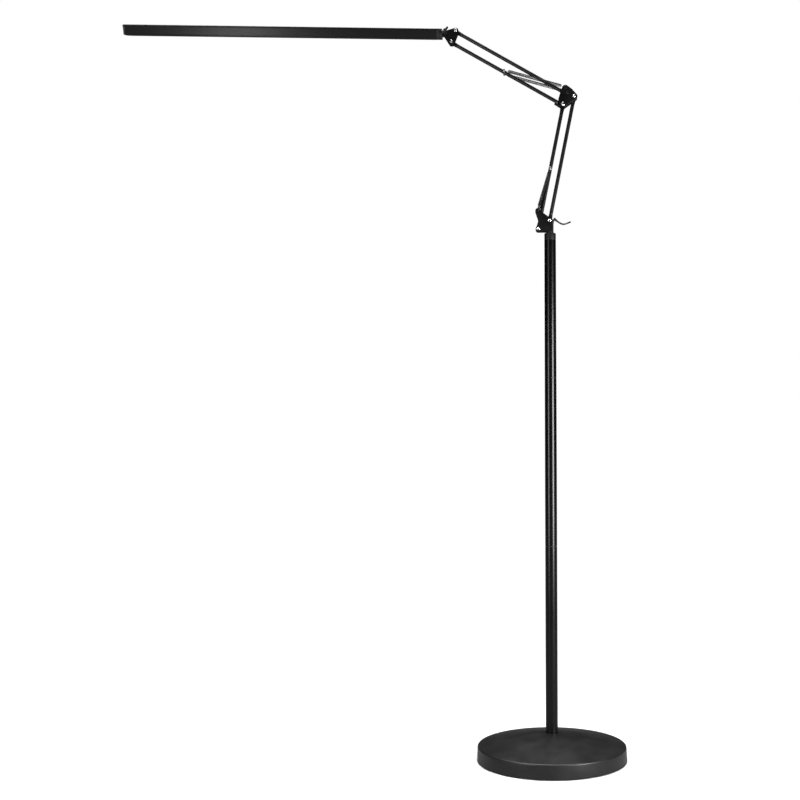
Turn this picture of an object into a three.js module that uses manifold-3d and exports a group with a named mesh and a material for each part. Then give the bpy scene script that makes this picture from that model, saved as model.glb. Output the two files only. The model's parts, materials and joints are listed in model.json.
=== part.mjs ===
// A swing-arm floor lamp: a round weighted base, a pole in three screwed sections, two parallelogram
// arms held up by pairs of springs, and a long LED bar on a wing-nut knuckle.
// Millimetres, +Z up. The origin is on the floor under the pole. The arms lie in the XZ plane, and the
// bar reaches towards -X. Neighbouring pieces keep a small gap, GAP.

import * as THREE from 'three';
import { mergeVertices } from 'three/addons/utils/BufferGeometryUtils.js';
import Module from 'manifold-3d';

const wasm = await Module();
wasm.setup();

// ---- Driving dimensions ----

const GAP = 0.3;
const RIGHT_ANGLE = Math.PI / 2;
const ARC_STEP = Math.PI / 6;
const FINE_SIDES = 36;
const POLE_SIDES = 24;
const ROUND_SIDES = 16;
const SMALL_SIDES = 10;

const BASE_RADIUS = 153;
const BASE_TAPER = 1;
const RIM_HEIGHT = 29.5;
const RIM_ROUND = 3;
const DOME_RISE = 25.5;
const DOME_POWER = 1.25;
const DOME_STEPS = 4;
const DOME_FLAT_RADIUS = 15;
const COVER_WALL = 2;
const COVER_FOOT = 1;
const PAD_HEIGHT = 2.5;
const BOLT_HOLE_RADIUS = 5.2;
const BOLT_HEAD_POCKET = { radius: 13, top: 14 };
const BOLT = { head: 9, washer: 12, washerSpace: 2.2, reach: 32 };

const POLE_RADIUS = 12.5;
const POLE_WALL = 1.5;
const POLE_TOP = 1100;
const POLE_SEAMS = [430, 785];
const SEAM_GROOVE = 0.4;
const COLLAR_HEIGHT = 16;
const COLLAR_PLUG_DEPTH = 22;
const COUPLER = { length: 50, wall: 2.5 };
const FOOT_NUT = { from: 2, to: 36 };

const SWIVEL_PIN_RADIUS = 6;
const SWIVEL_PIN_DEPTH = 34;
const POST_RADIUS = 7.5;
const POST_FLANGE = 3;
const POST_TOP = 1120;

const ARM_LENGTH = 285;
const LOWER_LEAN = THREE.MathUtils.degToRad(11.1);
const UPPER_RISE = THREE.MathUtils.degToRad(30.4);
const HEAD_TILT = THREE.MathUtils.degToRad(0.8);
const HEAD_ROLL = THREE.MathUtils.degToRad(22);
const TUBE_RADIUS = 4;
const TUBE_WALL = 1;
const TUBE_SIDES = 12;
const TONGUE = { radius: 4.6, length: 18, root: 15, thickness: 2 };
const LAP_GAP = 0.2;
const LEAD_RADIUS = 1.2;
const LEAD_INSET = 23;

const PLATE_INSIDE = 4.5;
const PLATE_THICKNESS = 2;
const PLATE_OUTSIDE = PLATE_INSIDE + PLATE_THICKNESS;
const RIVET = { shank: 2, head: 3.7, rim: 0.6, height: 1.5 };
const CLAMP = { shank: 2.5, head: 4.4, height: 2.6 };
const STUD_RADIUS = 1.5;
const STUD_REACH = 13.2;
const STUD_LIP = { radius: 2.4, thickness: 1.2 };
const SPRING_OFFSET = 10.5;
const SPRING_RADIUS = 3.5;
const SPRING_HOOK = 11;
const SPRING_WIRE = 0.8;

const WING = { hub: 4.6, from: 16.3, height: 5.2, thickness: 3.4 };
const ELBOW_LEVER_REACH = 22;
const ELBOW_LEVER_ANGLE = THREE.MathUtils.degToRad(146);
const HEAD_WING_ANGLE = THREE.MathUtils.degToRad(50);
const HEAD_WING_REACH = 10;

const BAR_LENGTH = 703;
const BAR_START = 7.5;
const BAR_DEPTH = 26;
const BAR_HEIGHT = 22;
const BAR_ROUND = 3.5;
const BAR_WEB = 3;
const BAR_LEG = 2.3;
const DIFFUSER_RECESS = 2;
const INNER_CAP = 12;
const OUTER_CAP = 4;
const NECK_RADIUS = 4.5;
const SCREW_PORT = { y: 9.9, z: 7.5, radius: 1.4 };
const BOARD = { half: 6, thickness: 1.6 };
const CAP_SCREW = { shank: 1.1, head: 2.2, height: 1.1, length: 18 };

const CORD_RADIUS = 1.75;
const COIL_CENTRE = [-23, 190];
const COIL_RADIUS = 19.5;

// ---- Pivots, as [x, z] in the plane of the arms ----

const along = ([x, z], length, angle) => [x + length * Math.sin(angle), z + length * Math.cos(angle)];
const shift = ([x, z], dx, dz) => [x + dx, z + dz];

const UPPER_ANGLE = UPPER_RISE - RIGHT_ANGLE;
const LOWER_SPAN = [24.5, 18.5];
const UPPER_SPAN = [9, 25.5];

const LOWER_RIGHT_PIVOT = [-1, 1128];
const LOWER_LEFT_PIVOT = shift(LOWER_RIGHT_PIVOT, -LOWER_SPAN[0], -LOWER_SPAN[1]);
const ELBOW_LOW_PIVOT = along(LOWER_LEFT_PIVOT, ARM_LENGTH, LOWER_LEAN);
const ELBOW_RIGHT_PIVOT = shift(ELBOW_LOW_PIVOT, ...LOWER_SPAN);
const ELBOW_HIGH_PIVOT = shift(ELBOW_LOW_PIVOT, ...UPPER_SPAN);
const HEAD_LOW_PIVOT = along(ELBOW_LOW_PIVOT, ARM_LENGTH, UPPER_ANGLE);
const HEAD_HIGH_PIVOT = shift(HEAD_LOW_PIVOT, ...UPPER_SPAN);
const TILT_PIVOT = shift(HEAD_LOW_PIVOT, -13.5, 19.7);

const LOWER_STUD = shift(LOWER_LEFT_PIVOT, -1, 40.5);
const UPPER_STUD = shift(ELBOW_LOW_PIVOT, 5, 37.5);
const LOWER_PIN_DISTANCE = 136;
const UPPER_PIN_DISTANCE = 150;

// ---- Finishes ----

const POLE_PAINT = { color: 0x17171a, roughness: 0.3, metalness: 0.6 };
const BASE_PAINT = { color: 0x2b2b2d, roughness: 0.55, metalness: 0.4 };
const ARM_PAINT = { color: 0x141416, roughness: 0.45, metalness: 0.5 };
const ANODISED = { color: 0x26262a, roughness: 0.4, metalness: 0.7 };
const BLACK_PLASTIC = { color: 0x121213, roughness: 0.6, metalness: 0 };
const CHROME = { color: 0xc8cacd, roughness: 0.15, metalness: 1 };
const SPRING_STEEL = { color: 0x1d1d20, roughness: 0.35, metalness: 0.8 };
const ZINC = { color: 0x9a9c9f, roughness: 0.4, metalness: 0.9 };
const BALLAST = { color: 0x6f6e6a, roughness: 0.9, metalness: 0 };
const RUBBER = { color: 0x0e0e0e, roughness: 0.9, metalness: 0 };
const OPAL = { color: 0xf4f3ee, roughness: 0.5, metalness: 0 };
const CIRCUIT = { color: 0xe9e9e4, roughness: 0.6, metalness: 0 };
const PVC = { color: 0x101010, roughness: 0.5, metalness: 0 };

// ---- Solids ----

/** A closed three.js geometry as a manifold solid. */
function toSolid(geometry) {
  const bare = geometry.clone();
  bare.deleteAttribute('normal');
  bare.deleteAttribute('uv');
  const merged = mergeVertices(bare, 1e-3);
  return new wasm.Manifold(new wasm.Mesh({
    numProp: 3,
    vertProperties: merged.attributes.position.array,
    triVerts: Uint32Array.from(merged.index.array),
  }));
}

/** A manifold solid as a three.js geometry. */
function toGeometry(solid) {
  const mesh = solid.getMesh();
  const geometry = new THREE.BufferGeometry();
  geometry.setAttribute('position', new THREE.BufferAttribute(mesh.vertProperties, mesh.numProp));
  geometry.setIndex(new THREE.BufferAttribute(mesh.triVerts, 1));
  geometry.computeVertexNormals();
  return geometry;
}

const cut = (body, ...tools) =>
  toGeometry(tools.reduce((solid, tool) => solid.subtract(toSolid(tool)), toSolid(body)));
const join = (...bodies) => toGeometry(bodies.map(toSolid).reduce((solid, next) => solid.add(next)));
const intersect = (body, other) => toGeometry(toSolid(body).intersect(toSolid(other)));

/** A box between two corners. */
function box([x0, y0, z0], [x1, y1, z1]) {
  const geometry = new THREE.BoxGeometry(x1 - x0, y1 - y0, z1 - z0);
  return geometry.translate((x0 + x1) / 2, (y0 + y1) / 2, (z0 + z1) / 2);
}

/** A solid turned about the Z axis from a profile of [radius, z] points. */
function turned(profile, sides) {
  const points = profile.map(([r, z]) => new THREE.Vector2(r, z));
  return new THREE.LatheGeometry(points, sides).rotateX(RIGHT_ANGLE);
}

/** A closed ring profile, turned about the Z axis. */
const ring = (profile, sides) => turned([...profile, profile[0]], sides);

/** A tube about the Z axis. */
const pipe = (outer, inner, z0, z1, sides) =>
  ring([[inner, z0], [outer, z0], [outer, z1], [inner, z1]], sides);

/** A rod along Y, centred on [x, z]. */
function rodY([x, z], radius, y0, y1, sides = SMALL_SIDES) {
  return new THREE.CylinderGeometry(radius, radius, y1 - y0, sides).translate(x, (y0 + y1) / 2, z);
}

/** Turns a solid of revolution about Z into one about Y at [x, z], with its +Z towards `side`. */
const facingY = (geometry, [x, z], side) => geometry.rotateX(-side * RIGHT_ANGLE).translate(x, 0, z);

/** Circles [x, z, r] joined by tangents into one outline; a negative r bends it inwards. */
function belt(circles) {
  const count = circles.length;
  const headings = circles.map(([x, z, r], i) => {
    const [nextX, nextZ, nextR] = circles[(i + 1) % count];
    const turn = Math.acos((r - nextR) / Math.hypot(nextX - x, nextZ - z));
    return Math.atan2(nextZ - z, nextX - x) - turn;
  });
  const full = 2 * Math.PI;
  const wrap = (angle) => ((angle % full) + full) % full;
  const points = circles.flatMap(([x, z, r], i) => {
    const from = headings[(i + count - 1) % count];
    const sweep = r > 0 ? wrap(headings[i] - from) : -wrap(from - headings[i]);
    const steps = Math.max(1, Math.ceil(Math.abs(sweep) / ARC_STEP));
    return Array.from({ length: steps + 1 }, (_, k) => {
      const angle = from + (sweep * k) / steps;
      return new THREE.Vector2(x + r * Math.cos(angle), z + r * Math.sin(angle));
    });
  });
  return new THREE.Shape(points);
}

/** An outline in the XZ plane, extruded along Y from y0 to y1. */
function slab(shape, y0, y1) {
  const geometry = new THREE.ExtrudeGeometry(shape, { depth: y1 - y0, bevelEnabled: false });
  return geometry.rotateX(RIGHT_ANGLE).translate(0, y1, 0);
}

/** A smooth tube through a list of points, with a step about every `spacing`. */
function cordTube(points, spacing) {
  const path = new THREE.CatmullRomCurve3(points.map((p) => new THREE.Vector3(...p)), false, 'centripetal');
  const section = Array.from({ length: 8 }, (_, k) => {
    const angle = (k * Math.PI) / 4;
    return new THREE.Vector2(CORD_RADIUS * Math.cos(angle), CORD_RADIUS * Math.sin(angle));
  });
  return new THREE.ExtrudeGeometry(new THREE.Shape(section), {
    steps: Math.round(path.getLength() / spacing),
    extrudePath: path,
    bevelEnabled: false,
  });
}

/** Adds a named mesh with its own material. */
function add(parent, name, geometry, finish) {
  const mesh = new THREE.Mesh(geometry, new THREE.MeshStandardMaterial(finish));
  mesh.name = name;
  parent.add(mesh);
  return mesh;
}

/** A group at a pivot, turned about Y. Its local +Z runs along the link. */
function frameAt([x, z], angle) {
  const group = new THREE.Group();
  group.position.set(x, 0, z);
  group.rotation.y = angle;
  return group;
}

const lamp = new THREE.Group();

// ---- Base ----

/** The height of the cover's outside at a radius. */
const DOME_RADIUS = BASE_RADIUS - BASE_TAPER - RIM_ROUND;
const domeHeight = (r) => RIM_HEIGHT + DOME_RISE * (1 - (r / DOME_RADIUS) ** DOME_POWER);
const DOME_TOP = domeHeight(DOME_FLAT_RADIUS);

/** The outside of the dome from the rim in to the pole, as [radius, z] points lowered by `drop`. */
function domeProfile(drop) {
  const rimTop = DOME_RADIUS - drop;
  return Array.from({ length: DOME_STEPS + 1 }, (_, k) => {
    const r = rimTop + ((DOME_FLAT_RADIUS - rimTop) * k) / DOME_STEPS;
    return [r, domeHeight(r) - drop];
  });
}

function buildBase() {
  const rimRadius = BASE_RADIUS - BASE_TAPER;
  const inside = BASE_RADIUS - COVER_WALL - BASE_TAPER;
  const cover = [
    [BOLT_HOLE_RADIUS, DOME_TOP - COVER_WALL],
    ...domeProfile(COVER_WALL).reverse(),
    [inside, RIM_HEIGHT - RIM_ROUND - COVER_WALL],
    [inside, COVER_FOOT],
    [BASE_RADIUS, COVER_FOOT],
    [rimRadius, RIM_HEIGHT - RIM_ROUND],
    [rimRadius - RIM_ROUND * 0.3, RIM_HEIGHT - RIM_ROUND * 0.3],
    ...domeProfile(0),
    [BOLT_HOLE_RADIUS, DOME_TOP],
  ];
  add(lamp, 'base_cover', ring(cover, FINE_SIDES), BASE_PAINT);

  const fill = COVER_WALL + GAP;
  const ballast = [
    [BOLT_HEAD_POCKET.radius, PAD_HEIGHT + GAP],
    [inside - GAP, PAD_HEIGHT + GAP],
    [inside - GAP, RIM_HEIGHT - RIM_ROUND - fill],
    ...domeProfile(fill),
    [BOLT_HOLE_RADIUS, DOME_TOP - fill],
    [BOLT_HOLE_RADIUS, BOLT_HEAD_POCKET.top],
    [BOLT_HEAD_POCKET.radius, BOLT_HEAD_POCKET.top],
  ];
  add(lamp, 'base_ballast', ring(ballast, FINE_SIDES), BALLAST);

  const padRadius = inside - GAP;
  const pad = [[0, 0], [padRadius - 1, 0], [padRadius, 1], [padRadius, PAD_HEIGHT], [0, PAD_HEIGHT]];
  add(lamp, 'base_pad', turned(pad, FINE_SIDES), RUBBER);

  const shank = BOLT_HOLE_RADIUS - GAP;
  const headBottom = PAD_HEIGHT + GAP;
  const headTop = BOLT_HEAD_POCKET.top - BOLT.washerSpace;
  const boltTop = DOME_TOP + BOLT.reach;
  const stem = turned([[0, headTop - 1], [shank, headTop - 1], [shank, boltTop - 1], [shank - 1, boltTop],
    [0, boltTop]], SMALL_SIDES);
  const head = turned([[0, headBottom], [BOLT.head, headBottom], [BOLT.head, headTop], [0, headTop]], 6);
  add(lamp, 'base_bolt', join(stem, head), ZINC);
  const washer = pipe(BOLT.washer, BOLT_HOLE_RADIUS, headTop + GAP, BOLT_HEAD_POCKET.top - GAP, ROUND_SIDES);
  add(lamp, 'base_washer', washer, ZINC);
}

// ---- Pole ----

/** One pole section, with a fine groove at each joint. */
function poleSection(z0, z1) {
  const inner = POLE_RADIUS - POLE_WALL;
  const edge = POLE_RADIUS - SEAM_GROOVE;
  return ring([[inner, z0], [edge, z0], [POLE_RADIUS, z0 + SEAM_GROOVE], [POLE_RADIUS, z1 - SEAM_GROOVE],
    [edge, z1], [inner, z1]], POLE_SIDES);
}

function buildPole() {
  const foot = DOME_TOP + GAP;
  const collarFoot = POLE_TOP - COLLAR_HEIGHT;
  const ends = [foot, ...POLE_SEAMS, collarFoot];
  ['pole_lower', 'pole_middle', 'pole_upper'].forEach((name, k) => {
    const top = ends[k + 1] - GAP;
    add(lamp, name, poleSection(ends[k], top), POLE_PAINT);
  });

  const plug = POLE_RADIUS - POLE_WALL - GAP;
  const footNut = pipe(plug, BOLT_HOLE_RADIUS, foot + FOOT_NUT.from, foot + FOOT_NUT.to, ROUND_SIDES);
  add(lamp, 'pole_foot_nut', footNut, ZINC);
  POLE_SEAMS.forEach((seam, k) => {
    const name = ['pole_coupler_lower', 'pole_coupler_upper'][k];
    const half = COUPLER.length / 2;
    add(lamp, name, pipe(plug, plug - COUPLER.wall, seam - half, seam + half, ROUND_SIDES), ZINC);
  });

  const hole = SWIVEL_PIN_RADIUS + GAP;
  const plugFoot = collarFoot - COLLAR_PLUG_DEPTH;
  add(lamp, 'pole_collar', ring([[hole, plugFoot], [plug, plugFoot], [plug, collarFoot],
    [POLE_RADIUS, collarFoot], [POLE_RADIUS, POLE_TOP - 1], [POLE_RADIUS - 1, POLE_TOP],
    [hole, POLE_TOP]], POLE_SIDES), BLACK_PLASTIC);
}

// ---- Brackets and their fasteners ----

/** A flat bracket cheek on one side of the arms, with pivot holes and an optional spring stud. */
function cheek(circles, holes, side, stud) {
  const outline = belt(circles);
  holes.forEach(([x, z, r]) => {
    const hole = new THREE.Path();
    hole.absarc(x, z, r, 0, 2 * Math.PI, true);
    outline.holes.push(new THREE.Path(hole.getPoints(SMALL_SIDES).slice(0, -1)));
  });
  const [y0, y1] = side < 0 ? [-PLATE_OUTSIDE, -PLATE_INSIDE] : [PLATE_INSIDE, PLATE_OUTSIDE];
  const plate = slab(outline, y0, y1);
  if (!stud) return plate;
  const root = PLATE_OUTSIDE - 0.5;
  const lip = STUD_REACH - STUD_LIP.thickness;
  const post = turned([[0, root], [STUD_RADIUS, root], [STUD_RADIUS, lip], [STUD_LIP.radius, lip],
    [STUD_LIP.radius, STUD_REACH], [0, STUD_REACH]], SMALL_SIDES);
  return join(plate, facingY(post, stud, side));
}

/** Adds the front and rear cheeks of a bracket. */
function addCheeks(name, circles, holes, stud) {
  add(lamp, `${name}_front`, cheek(circles, holes, -1, stud), ARM_PAINT);
  add(lamp, `${name}_rear`, cheek(circles, holes, 1, stud), ARM_PAINT);
}

/** A shank through both cheeks with a low domed head at each end. */
function rivet(pivot) {
  const inner = PLATE_OUTSIDE + GAP;
  const outer = inner + RIVET.height;
  const rim = RIVET.head;
  const half = [[RIVET.shank, inner], [rim, inner], [rim, inner + RIVET.rim], [rim * 0.75, outer - 0.2],
    [0, outer]];
  const other = half.map(([r, z]) => [r, -z]).reverse();
  return facingY(turned([...other, ...half], SMALL_SIDES), pivot, 1);
}

/** A clamp bolt along Y: its head on one side, its thread reaching into the wing nut on the other. */
function clampBolt(pivot, nutSide) {
  const seat = -(PLATE_OUTSIDE + GAP);
  const head = CLAMP.head;
  const tip = WING.from + WING.height - 2;
  return facingY(turned([[0, seat - CLAMP.height], [head - 0.8, seat - CLAMP.height],
    [head, seat - CLAMP.height + 0.8], [head, seat], [CLAMP.shank, seat], [CLAMP.shank, tip], [0, tip]],
  SMALL_SIDES), pivot, nutSide);
}

/** A hand nut: a round hub that lifts its flat wings, from -X to +X, clear of what lies beside it. */
function handNut(wingStart, wingEnd) {
  const foot = PLATE_OUTSIDE + GAP;
  const top = WING.from + WING.height;
  const hub = turned([[0, foot], [WING.hub, foot], [WING.hub, top - 1], [WING.hub - 1, top], [0, top]],
    ROUND_SIDES);
  const round = WING.height / 2;
  const middle = WING.from + round;
  const wings = slab(belt([[wingStart + round, middle, round], [wingEnd - round, middle, round]]),
    -WING.thickness / 2, WING.thickness / 2);
  const bore = turned([[0, foot - 1], [CLAMP.shank + GAP, foot - 1], [CLAMP.shank + GAP, top - 1],
    [0, top - 1]], SMALL_SIDES);
  return cut(join(hub, wings), bore);
}

/** Adds a hand nut on a pivot, its wings turned up from +X by `angle` as seen from the front. */
function addHandNut(name, [x, z], side, [wingStart, wingEnd], angle) {
  const nut = add(lamp, name, handNut(wingStart, wingEnd).rotateX(-side * RIGHT_ANGLE), BLACK_PLASTIC);
  nut.position.set(x, 0, z);
  nut.rotation.y = -angle;
}

// ---- Arms ----

/** A flattened tube end: a tongue around a pivot at [0, z], reaching `way` along the tube. */
function tongue(z, way, lap) {
  const { radius, length, thickness } = TONGUE;
  const y0 = lap ? Math.min(0, lap * thickness) + lap * LAP_GAP : -thickness / 2;
  const circles = [[0, z, radius], [0, z + way * length, TUBE_RADIUS]];
  return slab(belt(way > 0 ? circles : circles.reverse()), y0, y0 + thickness);
}

/** A round tube between two pivots, its ends flattened, from the origin up Z. Its bore stays open. */
function armTube(holes, lowLap, highLap) {
  const bore = TUBE_RADIUS - TUBE_WALL;
  const round = pipe(TUBE_RADIUS, bore, TONGUE.root, ARM_LENGTH - TONGUE.root, TUBE_SIDES);
  const past = 2 * TUBE_RADIUS;
  const tools = holes.map(([z, r]) => rodY([0, z], r + GAP, -past, past));
  return cut(join(round, tongue(0, 1, lowLap), tongue(ARM_LENGTH, -1, highLap)), ...tools);
}

/** A cross pin through a tube, with a grooved end for a spring hook on each side. */
function springPin(distance) {
  const lip = STUD_REACH - STUD_LIP.thickness;
  const half = [[STUD_RADIUS, lip], [STUD_LIP.radius, lip], [STUD_LIP.radius, STUD_REACH], [0, STUD_REACH]];
  const other = half.map(([r, z]) => [r, -z]).reverse();
  return facingY(turned([...other, ...half], SMALL_SIDES), [0, distance], 1);
}

/** A balance spring between two points in a link's own frame: hooks, and a close-wound body. */
function spring([x0, z0], [x1, z1], side) {
  const length = Math.hypot(x1 - x0, z1 - z0);
  const ends = STUD_RADIUS + GAP;
  const body = turned([[0, ends], [SPRING_WIRE, ends], [SPRING_WIRE, SPRING_HOOK - 2],
    [SPRING_RADIUS, SPRING_HOOK], [SPRING_RADIUS, length - SPRING_HOOK],
    [SPRING_WIRE, length - SPRING_HOOK + 2], [SPRING_WIRE, length - ends], [0, length - ends]], SMALL_SIDES);
  return body.rotateY(Math.atan2(x1 - x0, z1 - z0)).translate(x0, side * SPRING_OFFSET, z0);
}

/** A point of the lamp in the frame of a link that starts at `pivot` and runs at `angle`. */
function inLink([x, z], pivot, angle) {
  const dx = x - pivot[0];
  const dz = z - pivot[1];
  return [dx * Math.cos(angle) - dz * Math.sin(angle), dx * Math.sin(angle) + dz * Math.cos(angle)];
}

/** One arm: the sprung tube with its pin and springs, and the tube that carries the lead. */
function buildArm(arm) {
  const sprung = frameAt(arm.sprungPivot, arm.angle);
  const hole = RIVET.shank;
  const [lowEnd, highEnd] = arm.sprungEnds;
  const holes = [[0, lowEnd], [ARM_LENGTH, highEnd], [arm.pin, STUD_RADIUS]];
  add(sprung, arm.sprungName, armTube(holes, ...arm.laps), ARM_PAINT);
  add(sprung, `${arm.name}_spring_pin`, springPin(arm.pin), ZINC);
  const anchor = inLink(arm.stud, arm.sprungPivot, arm.angle);
  [['front', -1], ['rear', 1]].forEach(([place, side]) => {
    add(sprung, `${arm.name}_spring_${place}`, spring(anchor, [0, arm.pin], side), SPRING_STEEL);
  });

  const plain = frameAt(arm.plainPivot, arm.angle);
  add(plain, arm.plainName, armTube([[0, hole], [ARM_LENGTH, hole]], 0, 0), ARM_PAINT);
  const lead = turned([[0, LEAD_INSET], [LEAD_RADIUS, LEAD_INSET], [LEAD_RADIUS, ARM_LENGTH - LEAD_INSET],
    [0, ARM_LENGTH - LEAD_INSET]], 8);
  add(plain, `${arm.name}_lead`, lead, PVC);
  lamp.add(sprung, plain);
}

function buildSwivel() {
  const pinFoot = POLE_TOP - SWIVEL_PIN_DEPTH;
  const flangeFoot = POLE_TOP + GAP;
  const turning = turned([[0, pinFoot], [SWIVEL_PIN_RADIUS - 1, pinFoot], [SWIVEL_PIN_RADIUS, pinFoot + 1],
    [SWIVEL_PIN_RADIUS, flangeFoot], [POST_RADIUS, flangeFoot], [POST_RADIUS, POST_TOP - 0.8],
    [POST_RADIUS - 0.8, POST_TOP], [0, POST_TOP]], ROUND_SIDES);
  const flat = PLATE_INSIDE - GAP;
  const flatFoot = flangeFoot + POST_FLANGE;
  const far = 2 * POST_RADIUS;
  const post = cut(turning, box([-far, flat, flatFoot], [far, far, POST_TOP + 1]),
    box([-far, -far, flatFoot], [far, -flat, POST_TOP + 1]));
  add(lamp, 'swivel_post', post, BLACK_PLASTIC);

  const [leftX, leftZ] = LOWER_LEFT_PIVOT;
  const [rightX, rightZ] = LOWER_RIGHT_PIVOT;
  const outline = [
    [leftX, leftZ, 5.8],
    [3.1, POLE_TOP + 5.5, 1.5],
    [rightX, rightZ, 5.5],
    [leftX + 12.6, leftZ + 42.3, -7],
    [...LOWER_STUD, 5.5],
    [leftX - 20.2, leftZ + 17.5, -20],
  ];
  const hole = RIVET.shank + GAP;
  addCheeks('lower_cheek', outline, [[leftX, leftZ, hole], [rightX, rightZ, hole]], LOWER_STUD);
  add(lamp, 'lower_rivet_left', rivet(LOWER_LEFT_PIVOT), CHROME);
  add(lamp, 'lower_rivet_right', rivet(LOWER_RIGHT_PIVOT), CHROME);
}

function buildElbow() {
  const [x, z] = ELBOW_LOW_PIVOT;
  const outline = [
    [x, z, 6.7],
    [...ELBOW_RIGHT_PIVOT, 7.2],
    [x + 13.5, z + 30, 8],
    [...UPPER_STUD, 7],
    [x, z + 27, 6],
    [x - 4, z + 11, 6.5],
  ];
  const small = RIVET.shank + GAP;
  const holes = [[x, z, CLAMP.shank + GAP], [...ELBOW_RIGHT_PIVOT, small], [...ELBOW_HIGH_PIVOT, small]];
  addCheeks('elbow_cheek', outline, holes, UPPER_STUD);
  add(lamp, 'elbow_rivet_right', rivet(ELBOW_RIGHT_PIVOT), CHROME);
  add(lamp, 'elbow_rivet_high', rivet(ELBOW_HIGH_PIVOT), CHROME);
  add(lamp, 'elbow_clamp_bolt', clampBolt(ELBOW_LOW_PIVOT, 1), CHROME);
  addHandNut('elbow_lever_nut', ELBOW_LOW_PIVOT, 1, [-4, ELBOW_LEVER_REACH], ELBOW_LEVER_ANGLE);
}

function buildHeadBracket() {
  const outline = [[...HEAD_LOW_PIVOT, 6.1], [...HEAD_HIGH_PIVOT, 6.3], [...TILT_PIVOT, 5]];
  const small = RIVET.shank + GAP;
  const clampHole = [...TILT_PIVOT, CLAMP.shank + GAP];
  const holes = [[...HEAD_LOW_PIVOT, small], [...HEAD_HIGH_PIVOT, small], clampHole];
  addCheeks('head_cheek', outline, holes);
  add(lamp, 'head_rivet_low', rivet(HEAD_LOW_PIVOT), CHROME);
  add(lamp, 'head_rivet_high', rivet(HEAD_HIGH_PIVOT), CHROME);
  add(lamp, 'head_clamp_bolt', clampBolt(TILT_PIVOT, -1), CHROME);
  addHandNut('head_wing_nut', TILT_PIVOT, -1, [-HEAD_WING_REACH, HEAD_WING_REACH], HEAD_WING_ANGLE);
}

// ---- Lamp head, in a frame at the tilt pivot with the bar along -X, rolled about its own axis ----

/** Extrudes a [y, z] outline along X from x0 down to x1. */
function barSlab(points, x0, x1, holes = []) {
  const shape = new THREE.Shape(points.map(([y, z]) => new THREE.Vector2(y, z)));
  holes.forEach(([y, z, r]) => {
    const hole = new THREE.Path();
    hole.absarc(y, z, r, 0, 2 * Math.PI, true);
    shape.holes.push(new THREE.Path(hole.getPoints(12).slice(0, -1)));
  });
  const geometry = new THREE.ExtrudeGeometry(shape, { depth: x0 - x1, bevelEnabled: false });
  return geometry.rotateY(RIGHT_ANGLE).rotateX(RIGHT_ANGLE).translate(x1, 0, 0);
}

/** The outside of the bar: a rounded rectangle. */
function barOutline() {
  const y = BAR_DEPTH / 2 - BAR_ROUND;
  const z = BAR_HEIGHT / 2 - BAR_ROUND;
  const corners = [[-y, -z], [y, -z], [y, z], [-y, z]];
  return belt(corners.map(([a, b]) => [a, b, BAR_ROUND])).getPoints().map((p) => [p.x, p.y]);
}

/** The bar's channel section, open below, with a solid block in each top corner for the screws. */
function channelOutline() {
  const outside = barOutline().filter(([, z]) => z > 0);
  const wall = BAR_DEPTH / 2;
  const foot = -BAR_HEIGHT / 2;
  const inner = wall - BAR_LEG;
  const web = BAR_HEIGHT / 2 - BAR_WEB;
  return [[-6.5, web], [6.5, web], [inner, 4.5], [inner, foot], [wall - 1, foot], [wall, foot + 1],
    ...outside, [-wall, foot + 1], [-wall + 1, foot], [-inner, foot], [-inner, 4.5]];
}

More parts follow.
